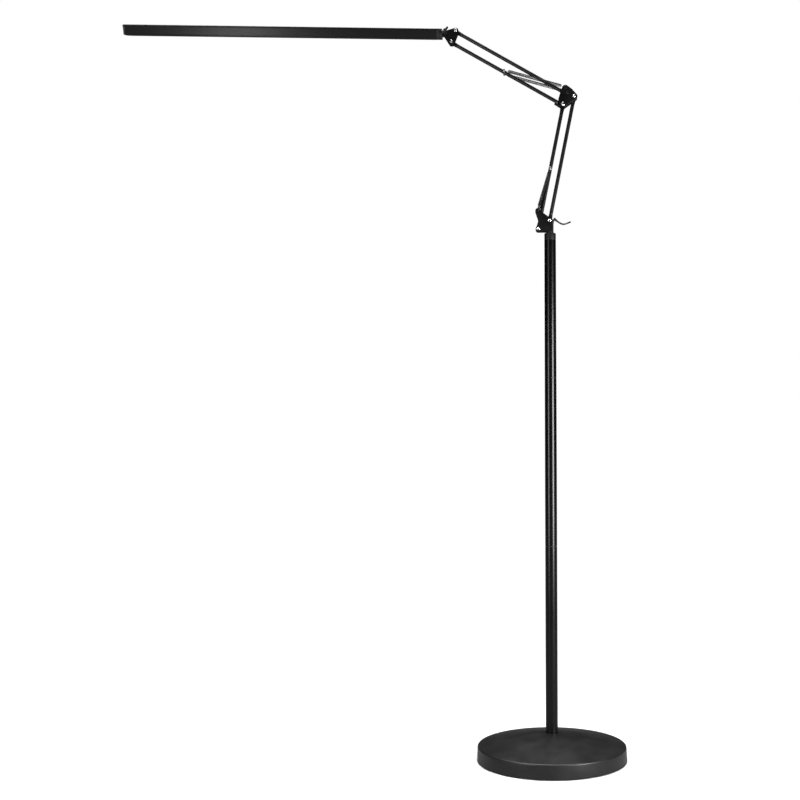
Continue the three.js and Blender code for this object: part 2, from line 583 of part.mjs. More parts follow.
function buildHead() {
  const head = frameAt(TILT_PIVOT, HEAD_TILT);
  const start = -BAR_START;
  const end = start - BAR_LENGTH;
  const innerFace = start - INNER_CAP;
  const outerFace = end + OUTER_CAP;
  const ports = [-1, 1].map((side) => [side * SCREW_PORT.y, SCREW_PORT.z, SCREW_PORT.radius]);

  const eye = rodY([0, 0], 6, -PLATE_INSIDE + GAP, PLATE_INSIDE - GAP, ROUND_SIDES);
  const neck = INNER_CAP + BAR_START;
  const stub = turned([[0, 3], [NECK_RADIUS, 3], [NECK_RADIUS, neck + 2 * GAP], [6, neck + 1], [6, neck + 4],
    [0, neck + 4]], ROUND_SIDES).rotateY(-RIGHT_ANGLE);
  const boltHole = rodY([0, 0], CLAMP.shank + GAP, -2 * TUBE_RADIUS, 2 * TUBE_RADIUS);
  const slimBox = box([-BAR_START, -PLATE_INSIDE + GAP, -7], [7, PLATE_INSIDE - GAP, 7]);
  const inCheeks = intersect(join(eye, stub), slimBox);
  const beyond = intersect(stub, box([-40, -10, -10], [-BAR_START + 1, 10, 10]));
  add(head, 'head_knuckle', cut(join(inCheeks, beyond), boltHole), BLACK_PLASTIC);

  const bar = new THREE.Group();
  bar.rotation.x = HEAD_ROLL;
  head.add(bar);
  add(bar, 'head_profile', barSlab(channelOutline(), innerFace - GAP, outerFace + GAP, ports), ANODISED);
  const innerHoles = [...ports, [0, 0, NECK_RADIUS + GAP]];
  add(bar, 'head_cap_inner', barSlab(barOutline(), start, innerFace, innerHoles), BLACK_PLASTIC);
  add(bar, 'head_cap_outer', barSlab(barOutline(), outerFace, end, ports), BLACK_PLASTIC);
  [[start, 1, 'inner'], [end, -1, 'outer']].forEach(([face, way, place]) => {
    [['front', -1], ['rear', 1]].forEach(([row, side]) => {
      const { shank, head: cap, height, length } = CAP_SCREW;
      const screw = turned([[0, -length], [shank, -length], [shank, GAP], [cap, GAP], [cap, height - GAP],
        [cap - 0.7, height], [0, height]], ROUND_SIDES);
      screw.rotateY(way * RIGHT_ANGLE).translate(face, side * SCREW_PORT.y, SCREW_PORT.z);
      add(bar, `cap_screw_${place}_${row}`, screw, ZINC);
    });
  });

  const web = BAR_HEIGHT / 2 - BAR_WEB;
  const board = [[-BOARD.half, web - BOARD.thickness - GAP], [BOARD.half, web - GAP]];
  add(bar, 'led_board', box([end + 14, ...board[0]], [innerFace - 75, ...board[1]]), CIRCUIT);
  add(bar, 'control_board', box([innerFace - 70, ...board[0]], [innerFace - 12, ...board[1]]), CIRCUIT);
  const half = BAR_DEPTH / 2 - BAR_LEG - GAP;
  const lens = -BAR_HEIGHT / 2 + DIFFUSER_RECESS;
  add(bar, 'diffuser', box([outerFace + 2 * GAP, -half, lens], [innerFace - 2 * GAP, half, lens + 2]), OPAL);
  lamp.add(head);
}

// ---- Cord: a thin low-voltage lead from the arm bracket down behind the pole to a coil ----

const OUTLET_DROP = THREE.MathUtils.degToRad(38);
const OUTLET_LENGTH = 10;
const OUTLET_ROOT = shift(LOWER_RIGHT_PIVOT, 9.2, 5.5);

const CORD_UPPER = [
  [16.3, 0, 1127.2], [19.5, 0, 1124.9], [23.5, 0, 1122.6], [28, 0.2, 1121], [32.5, 0.8, 1121.6],
  [37.3, 2.4, 1124], [41.5, 6, 1126.6], [44.3, 12, 1129.6], [43.4, 18.8, 1130.8], [38.6, 24, 1130.5],
  [31, 26.6, 1129.2], [23, 27, 1131.6], [16, 26.6, 1136.2], [9.5, 25.8, 1138.8], [4, 24.8, 1137],
  [0.3, 24.2, 1128.4], [-1.2, 24, 1116], [-1.5, 24, 1100], [-1.5, 24, 1085], [-1.5, 24, 1070],
];
const CORD_DROP = [[-1.5, 24, 1069.7], [-1.5, 24, 800], [-1.5, 24, 500], [-1.5, 24, 200], [-1.5, 24, 90.3]];
const CORD_FOOT = [
  [-1.5, 24, 90], [-1.5, 24.4, 74], [-1.4, 27.4, 62.6], [-1.2, 34.2, 56.4], [-1, 44, 53],
  [-0.7, 60, 50.1], [-0.4, 85, 45.8], [-0.1, 110, 41], [0, 133, 36.4], [0, 145, 33.9], [0, 152, 31.3],
  [0, 156.6, 26.6], [0, 158.6, 20.5], [0, 159.6, 14], [0, 161.4, 8], [0, 165.4, 3.8], [0, 171, 2.2],
  [0, 175, 2],
];
const CORD_TAIL = [[-49.5, 193.5, 4.7], [-56, 187, 4.2], [-62.5, 180.5, 4]];
const PLUG_START = [-62.75, 180.25, 4];

function buildCord() {
  const flat = PLATE_INSIDE - GAP;
  const [rootX, rootZ] = OUTLET_ROOT;
  const footZ = POST_TOP + GAP;
  const outline = [[3.8, footZ], [7.4, footZ], [rootX + 1.2, rootZ - 3.3], [rootX + 0.4, rootZ - 0.5],
    [rootX - 1.3, rootZ - 1.6], [4.9, footZ + 7.2], [3.8, footZ + 4]];
  const foot = slab(new THREE.Shape(outline.map(([x, z]) => new THREE.Vector2(x, z))), -flat, flat);
  const taper = turned([[0, 0], [3.2, 0], [3.2, 2], [2.3, OUTLET_LENGTH], [0, OUTLET_LENGTH]], SMALL_SIDES);
  const nozzle = taper.rotateY(RIGHT_ANGLE + OUTLET_DROP).translate(rootX, 0, rootZ);
  add(lamp, 'cord_outlet', join(nozzle, foot), RUBBER);

  add(lamp, 'cord_upper', cordTube(CORD_UPPER, 8), PVC);
  add(lamp, 'cord_drop', cordTube(CORD_DROP, 60), PVC);
  add(lamp, 'cord_foot', cordTube(CORD_FOOT, 7.5), PVC);

  const coil = ring([[COIL_RADIUS - 5.4, 0], [COIL_RADIUS + 5.4, 0], [COIL_RADIUS + 5.4, 2.6],
    [COIL_RADIUS + 3.6, 6.8], [COIL_RADIUS - 3.6, 6.8], [COIL_RADIUS - 5.4, 2.6]], ROUND_SIDES);
  add(lamp, 'cord_coil', coil, PVC).position.set(...COIL_CENTRE, 0);
  add(lamp, 'cord_tail', cordTube(CORD_TAIL, 6), PVC);

  const relief = turned([[0, 0], [2.2, 0], [3, 9], [0, 9]], SMALL_SIDES);
  const shell = box([-6, -2.25, 34], [6, 2.25, 50]);
  const grip = box([-7.8, -3.8, 8], [7.8, 3.8, 35]);
  const plug = add(lamp, 'cord_plug', join(relief, grip, shell).rotateX(-RIGHT_ANGLE), PVC);
  plug.position.set(...PLUG_START);
  plug.rotation.z = 0.75 * Math.PI;
}

buildBase();
buildPole();
buildSwivel();
buildArm({
  name: 'lower', angle: LOWER_LEAN, stud: LOWER_STUD, pin: LOWER_PIN_DISTANCE,
  sprungName: 'lower_tube_left', sprungPivot: LOWER_LEFT_PIVOT, sprungEnds: [RIVET.shank, CLAMP.shank],
  plainName: 'lower_tube_right', plainPivot: LOWER_RIGHT_PIVOT, laps: [0, -1],
});
buildElbow();
buildArm({
  name: 'upper', angle: UPPER_ANGLE, stud: UPPER_STUD, pin: UPPER_PIN_DISTANCE,
  sprungName: 'upper_tube_low', sprungPivot: ELBOW_LOW_PIVOT, sprungEnds: [CLAMP.shank, RIVET.shank],
  plainName: 'upper_tube_high', plainPivot: ELBOW_HIGH_PIVOT, laps: [1, 0],
});
buildHeadBracket();
buildHead();
buildCord();

export default lamp;
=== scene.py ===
"""The looks of a swing-arm floor lamp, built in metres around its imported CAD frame.

The origin is on the floor under the pole, the arms lie in the XZ plane, and the bar reaches towards -X.
Sizes are in metres. Positions come from the frame's nodes and joints.
"""

import json
import math

import bmesh
import bpy
from mathutils import Matrix, Vector


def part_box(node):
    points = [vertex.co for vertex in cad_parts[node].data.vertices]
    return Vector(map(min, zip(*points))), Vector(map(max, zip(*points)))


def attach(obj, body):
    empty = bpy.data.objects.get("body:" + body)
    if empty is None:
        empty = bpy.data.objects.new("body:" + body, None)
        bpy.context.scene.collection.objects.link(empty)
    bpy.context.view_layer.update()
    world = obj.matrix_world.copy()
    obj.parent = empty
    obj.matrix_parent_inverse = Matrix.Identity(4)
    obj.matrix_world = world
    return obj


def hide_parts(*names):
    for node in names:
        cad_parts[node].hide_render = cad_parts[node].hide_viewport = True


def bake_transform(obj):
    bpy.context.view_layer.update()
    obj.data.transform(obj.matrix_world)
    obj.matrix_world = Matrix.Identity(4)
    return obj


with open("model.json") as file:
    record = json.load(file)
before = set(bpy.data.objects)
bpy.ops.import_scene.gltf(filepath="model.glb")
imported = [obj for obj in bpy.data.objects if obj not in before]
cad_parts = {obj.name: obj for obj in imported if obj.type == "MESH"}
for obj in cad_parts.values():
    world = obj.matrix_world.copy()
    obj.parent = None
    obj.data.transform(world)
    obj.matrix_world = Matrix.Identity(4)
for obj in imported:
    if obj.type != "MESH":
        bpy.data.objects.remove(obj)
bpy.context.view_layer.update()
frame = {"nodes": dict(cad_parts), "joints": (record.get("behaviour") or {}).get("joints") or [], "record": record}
scene = bpy.context.scene

MM = 0.001
GAP = 0.3 * MM
TURN = 2 * math.pi
QUARTER = math.pi / 2
Y_AXIS = Vector((0, 1, 0))


def centre(node):
    """The middle of a CAD node's box."""
    low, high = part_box(node)
    return (low + high) / 2


def in_plane(point):
    """The same point moved into the plane of the arms."""
    return Vector((point[0], 0, point[2]))


joint_at = {joint["name"]: Vector(joint["pos_m"]) for joint in frame["joints"]}
LOWER_LEFT = joint_at["lower_arm"]
LOWER_RIGHT = joint_at["lower_arm_right"]
ELBOW_LOW = joint_at["upper_arm"]
ELBOW_HIGH = joint_at["upper_arm_high"]
ELBOW_RIGHT = in_plane(centre("elbow_rivet_right"))
HEAD_LOW = joint_at["head_level"]
HEAD_HIGH = in_plane(centre("head_rivet_high"))
TILT = joint_at["head_tilt"]
ROLL_AXIS = Vector(next(j["axis"] for j in frame["joints"] if j["name"] == "head_roll"))
HEAD_ROLL = math.radians(22)

# ---- Camera ----

CAMERA_PLACE = (-0.0679, -2.0, 0.5242)
CAMERA_PITCH = 0.1064
CAMERA_LENS = 42.59
CAMERA_SHIFT = -0.1484  # the lamp stands left of the middle of its own view, as framed


def make_camera():
    camera = bpy.data.objects.new("camera", bpy.data.cameras.new("camera"))
    scene.collection.objects.link(camera)
    camera.location = CAMERA_PLACE
    camera.rotation_euler = (QUARTER + CAMERA_PITCH, 0, 0)
    camera.data.lens = CAMERA_LENS
    camera.data.shift_x = CAMERA_SHIFT
    camera.data.clip_end = 200
    scene.camera = camera


make_camera()

# ---- Materials ----


def new_shader(name, roughness, metallic=0.0):
    """A material with a Principled shader; returns the material, its node tree and the shader."""
    material = bpy.data.materials.new(name)
    material.use_nodes = True
    tree = material.node_tree
    shader = tree.nodes["Principled BSDF"]
    shader.inputs["Roughness"].default_value = roughness
    shader.inputs["Metallic"].default_value = metallic
    return material, tree, shader


def noise_field(tree, cells, detail=3.0, stretch=(1, 1, 1)):
    """A noise pattern in a piece's own metres, with `cells` to the metre."""
    place = tree.nodes.new("ShaderNodeTexCoord")
    mapping = tree.nodes.new("ShaderNodeMapping")
    mapping.inputs["Scale"].default_value = stretch
    pattern = tree.nodes.new("ShaderNodeTexNoise")
    pattern.inputs["Scale"].default_value = cells
    pattern.inputs["Detail"].default_value = detail
    tree.links.new(place.outputs["Object"], mapping.inputs["Vector"])
    tree.links.new(mapping.outputs["Vector"], pattern.inputs["Vector"])
    return pattern.outputs["Fac"]


def ramp(tree, value, stops):
    """A colour ramp through (position, grey or colour) stops."""
    node = tree.nodes.new("ShaderNodeValToRGB")
    while len(node.color_ramp.elements) < len(stops):
        node.color_ramp.elements.new(0.5)
    for element, (position, colour) in zip(node.color_ramp.elements, stops):
        element.position = position
        element.color = (*(colour if hasattr(colour, "__len__") else (colour,) * 3), 1)
    tree.links.new(value, node.inputs["Fac"])
    return node.outputs["Color"]


def bump(tree, shader, value, depth, strength=1.0):
    node = tree.nodes.new("ShaderNodeBump")
    node.inputs["Distance"].default_value = depth
    node.inputs["Strength"].default_value = strength
    tree.links.new(value, node.inputs["Height"])
    tree.links.new(node.outputs["Normal"], shader.inputs["Normal"])


def coated(name, dark, light, rough, metallic=0.0, blotch=25, grain=1400, depth=0.03 * MM,
           stretch=(1, 1, 1), inputs=()):
    """A finish with slow colour change, uneven gloss and a fine surface grain."""
    material, tree, shader = new_shader(name, sum(rough) / 2, metallic)
    slow = noise_field(tree, blotch, 4.0, stretch)
    fine = noise_field(tree, grain, 2.0, stretch)
    tree.links.new(ramp(tree, slow, [(0.35, dark), (0.65, light)]), shader.inputs["Base Color"])
    tree.links.new(ramp(tree, slow, [(0.3, rough[0]), (0.7, rough[1])]), shader.inputs["Roughness"])
    bump(tree, shader, fine, depth)
    for socket, value in inputs:
        shader.inputs[socket].default_value = value
    return material


def speckled(name, ground, speck, share, cells, rough, depth):
    """A mineral-filled or grained finish with small specks."""
    material, tree, shader = new_shader(name, rough)
    dots = noise_field(tree, cells, 6.0)
    tree.links.new(ramp(tree, dots, [(share, ground), (share + 0.06, speck)]), shader.inputs["Base Color"])
    tree.links.new(ramp(tree, dots, [(0.2, rough * 0.85), (0.8, min(1, rough * 1.1))]),
                   shader.inputs["Roughness"])
    bump(tree, shader, dots, depth)
    return material


def opal_plastic():
    """A milky light cover, brighter where it is thin and grained so that it scatters."""
    material, tree, shader = new_shader("opal", 0.42)
    tree.links.new(ramp(tree, noise_field(tree, 30), [(0.3, (0.86, 0.86, 0.83)), (0.7, (0.93, 0.93, 0.90))]),
                   shader.inputs["Base Color"])
    shader.inputs["Subsurface Weight"].default_value = 0.35
    shader.inputs["Subsurface Radius"].default_value = (0.004, 0.004, 0.0035)
    bump(tree, shader, noise_field(tree, 2600), 0.01 * MM)
    return material


FINISHES = {
    "base_paint": coated("base_paint", (0.006,) * 3, (0.009, 0.009, 0.0095), (0.34, 0.42),
                         grain=1500, depth=0.035 * MM, inputs=[("Specular IOR Level", 0.4)]),
    "pole_paint": coated("pole_paint", (0.001,) * 3, (0.0018, 0.0018, 0.002), (0.2, 0.26),
                         grain=300, depth=0.0005 * MM, stretch=(1, 1, 0.4),
                         inputs=[("Specular IOR Level", 0.25)]),
    "arm_paint": coated("arm_paint", (0.002,) * 3, (0.004, 0.004, 0.0042), (0.30, 0.40),
                        grain=1800, depth=0.008 * MM, inputs=[("Specular IOR Level", 0.25)]),
    "anodised": coated("anodised", (0.002, 0.002, 0.0022), (0.005, 0.005, 0.0052), (0.28, 0.36),
                       blotch=9, grain=1600, depth=0.012 * MM, stretch=(0.03, 1, 1),
                       inputs=[("Specular IOR Level", 0.2)]),
    "black_plastic": coated("black_plastic", (0.002,) * 3, (0.004,) * 3, (0.42, 0.55),
                            grain=2400, depth=0.03 * MM, inputs=[("Specular IOR Level", 0.3)]),
    "chrome": coated("chrome", (0.72, 0.72, 0.74), (0.80, 0.80, 0.81), (0.10, 0.20), 1.0,
                     blotch=300, grain=5000, depth=0.002 * MM),
    "spring_steel": coated("spring_steel", (0.004, 0.004, 0.0045), (0.009, 0.009, 0.0095), (0.40, 0.5), 0.4,
                           blotch=160, grain=3500, depth=0.006 * MM),
    "zinc": coated("zinc", (0.42, 0.42, 0.43), (0.56, 0.56, 0.57), (0.30, 0.48), 1.0,
                   blotch=120, grain=2600, depth=0.012 * MM),
    "ballast": speckled("ballast", (0.15, 0.145, 0.135), (0.32, 0.31, 0.29), 0.56, 420, 0.9, 0.4 * MM),
    "rubber": coated("rubber", (0.008,) * 3, (0.014,) * 3, (0.72, 0.88), grain=1800, depth=0.06 * MM),
    "circuit": speckled("circuit", (0.78, 0.78, 0.75), (0.70, 0.60, 0.38), 0.66, 700, 0.45, 0.02 * MM),
    "opal": opal_plastic(),
    "cord_pvc": coated("cord_pvc", (0.003,) * 3, (0.006,) * 3, (0.38, 0.5), blotch=60,
                       grain=2600, depth=0.02 * MM),
}
PHOSPHOR = speckled("phosphor", (0.72, 0.62, 0.14), (0.80, 0.72, 0.25), 0.5, 1500, 0.5, 0.02 * MM)

# ---- Mesh making ----


def smoothstep(x):
    x = min(1.0, max(0.0, x))
    return x * x * (3 - 2 * x)


def mix(a, b, share):
    return a + (b - a) * share


def lathe(profile, sides=64, closed=False):
    """A solid of revolution about Z from (radius, z) points, counter-clockwise round the material."""
    vertices, rings, faces = [], [], []
    for radius, height in profile:
        count = sides if radius > 0 else 1
        rings.append([len(vertices) + k for k in range(count)])
        turns = [TURN * k / count for k in range(count)]
        vertices += [Vector((radius * math.cos(a), radius * math.sin(a), height)) for a in turns]
    for low, high in zip(rings, rings[1:] + (rings[:1] if closed else [])):
        for k in range(sides):
            corners = [low[k % len(low)], low[(k + 1) % len(low)],
                       high[(k + 1) % len(high)], high[k % len(high)]]
            face = list(dict.fromkeys(corners))
            if len(face) > 2:
                faces.append(face)
    return vertices, faces


def rounded(profile, radius, steps=4):
    """The same profile with its corners rounded, except at its two ends."""
    points = [Vector(p) for p in profile]
    made = [points[0]]
    for before, corner, after in zip(points, points[1:], points[2:]):
        back, ahead = before - corner, after - corner
        cutback = min(radius, back.length * 0.49, ahead.length * 0.49)
        start, end = corner + back.normalized() * cutback, corner + ahead.normalized() * cutback
        for k in range(steps + 1):
            t = k / steps
            made.append(start * (1 - t) ** 2 + corner * 2 * t * (1 - t) + end * t * t)
    return [tuple(p) for p in made + [points[-1]]]


def loft(rings):
    """A closed skin through rings that have the same number of points."""
    count = len(rings[0])
    vertices = [p for ring in rings for p in ring]
    faces = [list(range(count))[::-1], [len(vertices) - count + k for k in range(count)]]
    for row in range(len(rings) - 1):
        for k in range(count):
            low, high = row * count, (row + 1) * count
            faces.append([low + k, low + (k + 1) % count, high + (k + 1) % count, high + k])
    return vertices, faces


def sweep(path, radius, sides=10):
    """A tube along points; radius is a length, or a function of the share of the way along."""
    rings = []
    side = None
    for k, point in enumerate(path):
        heading = (path[min(k + 1, len(path) - 1)] - path[max(k - 1, 0)]).normalized()
        if side is None:
            side = heading.orthogonal()
        side = (side - heading * side.dot(heading)).normalized()
        other = heading.cross(side)
        size = radius(k / (len(path) - 1)) if callable(radius) else radius
        turns = [TURN * j / sides for j in range(sides)]
        rings.append([point + (side * math.cos(a) + other * math.sin(a)) * size for a in turns])
    return loft(rings)


def belt(circles, step=math.pi / 18):
    """Circles (x, z, r) joined by tangents into one outline; a negative r bends it inwards."""
    headings = []
    for (x, z, r), (next_x, next_z, next_r) in zip(circles, circles[1:] + circles[:1]):
        turn = math.acos((r - next_r) / math.hypot(next_x - x, next_z - z))
        headings.append(math.atan2(next_z - z, next_x - x) - turn)
    points = []
    for k, (x, z, r) in enumerate(circles):
        start = headings[k - 1]
        sweep_angle = (headings[k] - start) % TURN if r > 0 else -((start - headings[k]) % TURN)
        steps = max(1, math.ceil(abs(sweep_angle) / step))
        for j in range(steps + 1):
            angle = start + sweep_angle * j / steps
            points.append((x + r * math.cos(angle), z + r * math.sin(angle)))
    return points


def circle(x, z, radius, sides=32):
    return [(x + radius * math.cos(TURN * k / sides), z + radius * math.sin(TURN * k / sides))
            for k in range(sides)]


def plate(outlines, near, far, bevel=0.4 * MM):
    """A flat piece with rounded edges: (x, z) outlines, holes among them, from y near to y far."""
    curve = bpy.data.curves.new("outline", "CURVE")
    curve.dimensions = "2D"
    curve.fill_mode = "BOTH"
    curve.extrude = (far - near) / 2 - bevel
    curve.bevel_depth = bevel
    curve.bevel_resolution = 2
    curve.offset = -bevel
    for outline in outlines:
        spline = curve.splines.new("POLY")
        spline.points.add(len(outline) - 1)
        for point, (x, z) in zip(spline.points, outline):
            point.co = (x, z, 0, 1)
        spline.use_cyclic_u = True
    source = bpy.data.objects.new("outline", curve)
    mesh = bpy.data.meshes.new_from_object(source)
    middle = (near + far) / 2
    vertices = [Vector((v.co.x, middle - v.co.z, v.co.y)) for v in mesh.vertices]
    faces = [list(polygon.vertices) for polygon in mesh.polygons]
    bpy.data.objects.remove(source)
    bpy.data.curves.remove(curve)
    bpy.data.meshes.remove(mesh)
    return vertices, faces


def placed(part, matrix):
    vertices, faces = part
    return [matrix @ Vector(v) for v in vertices], faces


def join(*parts):
    vertices, faces = [], []
    for more, polygons in parts:
        faces += [[len(vertices) + index for index in polygon] for polygon in polygons]
        vertices += more
    return vertices, faces


def new_mesh_object(name, part, material, crease=35):
    """A mesh object in the scene, smooth except across creases."""
    mesh = bpy.data.meshes.new(name)
    mesh.from_pydata([tuple(v) for v in part[0]], [], part[1])
    work = bmesh.new()
    work.from_mesh(mesh)
    bmesh.ops.remove_doubles(work, verts=work.verts, dist=2e-6)
    bmesh.ops.recalc_face_normals(work, faces=work.faces)
    work.to_mesh(mesh)
    work.free()
    mesh.polygons.foreach_set("use_smooth", [True] * len(mesh.polygons))
    mesh.set_sharp_from_angle(angle=math.radians(crease))
    mesh.materials.append(material)
    piece = bpy.data.objects.new(name, mesh)
    scene.collection.objects.link(piece)
    return piece


def add(name, part, body, slot, replaced=(), material=None, crease=35):
    """A piece that rides on a CAD body, with its slot's finish."""
    piece = new_mesh_object(name, part, material or FINISHES[slot], crease)
    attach(piece, body)
    if replaced:
        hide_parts(*replaced)
    return piece


def link_frame(start, end):
    """The matrix whose origin is at start and whose +Z runs to end, in the plane of the arms."""
    way = end - start
    return Matrix.Translation(start) @ Matrix.Rotation(math.atan2(way.x, way.z), 4, "Y")


def facing_y(pivot, side):
    """The matrix that turns +Z towards `side` of Y at a pivot."""
    return Matrix.Translation(pivot) @ Matrix.Rotation(-side * QUARTER, 4, "X")


# ---- Cord: the CAD model's route, then a wound coil and its plug ----

CORD_RADIUS = 1.75 * MM
CORD_ROUTE = [
    (16.3, 0, 1127.2), (19.5, 0, 1124.9), (23.5, 0, 1122.6), (28, 0.2, 1121), (32.5, 0.8, 1121.6),
    (37.3, 2.4, 1124), (41.5, 6, 1126.6), (44.3, 12, 1129.6), (43.4, 18.8, 1130.8), (38.6, 24, 1130.5),
    (31, 26.6, 1129.2), (23, 27, 1131.6), (16, 26.6, 1136.2), (9.5, 25.8, 1138.8), (4, 24.8, 1137),
    (0.3, 24.2, 1128.4), (-1.2, 24, 1116), (-1.5, 24, 1100), (-1.5, 24, 1085), (-1.5, 24, 1070),
    (-1.5, 24, 800), (-1.5, 24, 500),
    (-1.5, 24, 200), (-1.5, 24, 90), (-1.5, 24.4, 74), (-1.4, 27.4, 62.6), (-1.2, 34.2, 56.4),
    (-1, 44, 53), (-0.7, 60, 50.1), (-0.4, 85, 45.8), (-0.1, 110, 41), (0, 133, 36.4), (0, 145, 33.9),
    (0, 152, 31.3), (0, 156.6, 26.6), (0, 158.6, 20.5), (0, 159.6, 14), (0, 161.4, 8), (0, 165.4, 3.8),
    (0, 171, 2.2), (0, 177, 1.8),
]
COIL_CENTRE = Vector((-23, 190, 0))
COIL_LAYERS = [(0.0, 2.0, 23.0, 16.0, 1.8), (2.375, 5.375, 16.0, 22.4, 5.0)]
CORD_TAIL = [(-49.5, 193.5, 4.7), (-56, 187, 4.2), (-62.5, 180.5, 4)]
TURN_POINTS = 24
BOX_POWER = 5


def coil_points():
    """The coil's turns: inwards on the floor, up one layer, and out over the first turns."""
    (_, first_end, outer, inner, low), (second_start, second_end, back, wide, high) = COIL_LAYERS
    points = []
    count = round(second_end * TURN_POINTS)
    for k in range(count + 1):
        turns = k / TURN_POINTS
        rise = smoothstep((turns - first_end) / (second_start - first_end))
        if turns <= first_end:
            radius = mix(outer, inner, turns / first_end)
        else:
            radius = mix(back, wide, max(0, (turns - second_start) / (second_end - second_start)))
        angle = TURN * turns
        points.append(COIL_CENTRE + Vector((radius * math.cos(angle), radius * math.sin(angle),
                                            mix(low, high, rise))))
    return points


def through(points, spacing):
    """Points on a smooth curve through a list, about `spacing` apart."""
    padded = [2 * points[0] - points[1], *points, 2 * points[-1] - points[-2]]
    made = []
    for before, start, end, after in zip(padded, padded[1:], padded[2:], padded[3:]):
        knots = [0.0]
        for a, b in ((before, start), (start, end), (end, after)):
            knots.append(knots[-1] + max(1e-6, (b - a).length) ** 0.5)
        steps = max(1, round((end - start).length / spacing))
        for k in range(steps):
            t = mix(knots[1], knots[2], k / steps)
            rows = [before, start, end, after]
            for level in (1, 2, 3):
                rows = [
                    rows[i] * ((knots[i + level] - t) / (knots[i + level] - knots[i]))
                    + rows[i + 1] * ((t - knots[i]) / (knots[i + level] - knots[i]))
                    for i in range(4 - level)
                ]
            made.append(rows[0])
    return [*made, points[-1]]


def plug_frame():
    """The matrix whose origin is where the cord enters the plug and whose +Z runs along the plug."""
    end = Vector(CORD_TAIL[-1]) * MM
    heading = Vector((-1, -1, 0)).normalized()
    side = Vector((0, 0, 1))
    across = side.cross(heading)
    turn = Matrix((across, side, heading)).transposed().to_4x4()
    return Matrix.Translation(end + heading * GAP) @ turn


def rounded_box(width, depth, z0, z1, corner, steps=4, sides=32):
    """A soft-edged block along Z; its ends round off over `corner`."""
    angles = [QUARTER * k / steps for k in range(steps + 1)]
    rings = [(z0 + corner * (1 - math.cos(a)), corner * (1 - math.sin(a))) for a in angles]
    rings += [(z0 + z1 - z, inset) for z, inset in reversed(rings)]
    return loft([[squircle(width / 2 - inset, depth / 2 - inset, TURN * j / sides, BOX_POWER, z)
                  for j in range(sides)] for z, inset in rings])


def squircle(half_x, half_y, angle, power, z):
    """A point of a rounded rectangle at an angle."""
    c, s = math.cos(angle), math.sin(angle)
    return Vector((half_x * math.copysign(abs(c) ** (2 / power), c),
                   half_y * math.copysign(abs(s) ** (2 / power), s), z))


def make_plug():
    """A small moulded plug with a ribbed relief, finger ridges and a folded metal shell."""
    spot = plug_frame()
    relief = rounded([(0, 0), (2.0 * MM, 0), (2.3 * MM, 1 * MM)], 0.1 * MM)
    for k in range(4):
        z = (1.4 + 1.9 * k) * MM
        groove, rib = (2.35 + 0.12 * k) * MM, (2.75 + 0.12 * k) * MM
        relief += [(groove, z), (rib, z + 0.3 * MM), (rib, z + 1.0 * MM), (groove, z + 1.3 * MM)]
    relief += [(3.0 * MM, 9.2 * MM), (0, 9.2 * MM)]
    grip = rounded_box(15.4 * MM, 7.4 * MM, 8.2 * MM, 34.6 * MM, 1.4 * MM)
    ridges = [rounded_box(9 * MM, 7.9 * MM, (14 + 3 * k) * MM, (15.4 + 3 * k) * MM, 0.4 * MM)
              for k in range(5)]
    body = add("plug_body", placed(join(lathe(relief, 32), grip, *ridges), spot), "stand", "cord_pvc",
               ["cord_plug"])
    turn = Matrix.Rotation(-QUARTER, 4, "X")
    wall = [(-6, -2.25), (6, -2.25), (6, 2.25), (-6, 2.25)]
    bore = [(-5.6, -1.85), (5.6, -1.85), (5.6, 1.85), (-5.6, 1.85)]
    outlines = [[(x * MM, z * MM) for x, z in outline] for outline in (wall, bore)]
    shell = placed(plate(outlines, -49.8 * MM, -34.2 * MM, 0.1 * MM), turn)
    metal = add("plug_shell", placed(shell, spot), "stand", "zinc")
    tongue = rounded_box(10.6 * MM, 1.7 * MM, 34.4 * MM, 48.8 * MM, 0.2 * MM)
    shift = Matrix.Translation((0, 0.8 * MM, 0))
    core = add("plug_tongue", placed(tongue, spot @ shift), "stand", "cord_pvc")
    return [body, metal, core]


OUTLET_DROP = math.radians(38)
OUTLET_LENGTH = 10 * MM


def make_outlet():
    """The tapered, ribbed strain relief on the swivel."""
    root = LOWER_RIGHT + Vector((9.2, 0, 5.5)) * MM
    profile = [(0, 0), (3.2 * MM, 0), (3.2 * MM, 2 * MM)]
    for k in range(4):
        z = (2.4 + 1.8 * k) * MM
        size = mix(3.0, 2.3, k / 3) * MM
        profile += [(size - 0.35 * MM, z), (size - 0.35 * MM, z + 0.6 * MM), (size, z + 0.8 * MM),
                    (size, z + 1.6 * MM)]
    profile += [(2.1 * MM, OUTLET_LENGTH - 0.2 * MM), (1.9 * MM, OUTLET_LENGTH), (0, OUTLET_LENGTH)]
    heading = Matrix.Translation(root) @ Matrix.Rotation(QUARTER + OUTLET_DROP, 4, "Y")
    low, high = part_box("cord_outlet")
    outline = [(3.8 * MM, low.z), (7.4 * MM, low.z), (root.x + 1.2 * MM, root.z - 3.3 * MM),
               (root.x + 0.4 * MM, root.z - 0.5 * MM), (root.x - 1.3 * MM, root.z - 1.6 * MM),
               (4.9 * MM, low.z + 7.2 * MM), (3.8 * MM, low.z + 4 * MM)]
    foot = plate([outline], -4.2 * MM, 4.2 * MM, 0.3 * MM)
    add("outlet_relief", join(placed(lathe(profile, 40), heading), foot), "arm_swivel", "rubber",
        ["cord_outlet"])


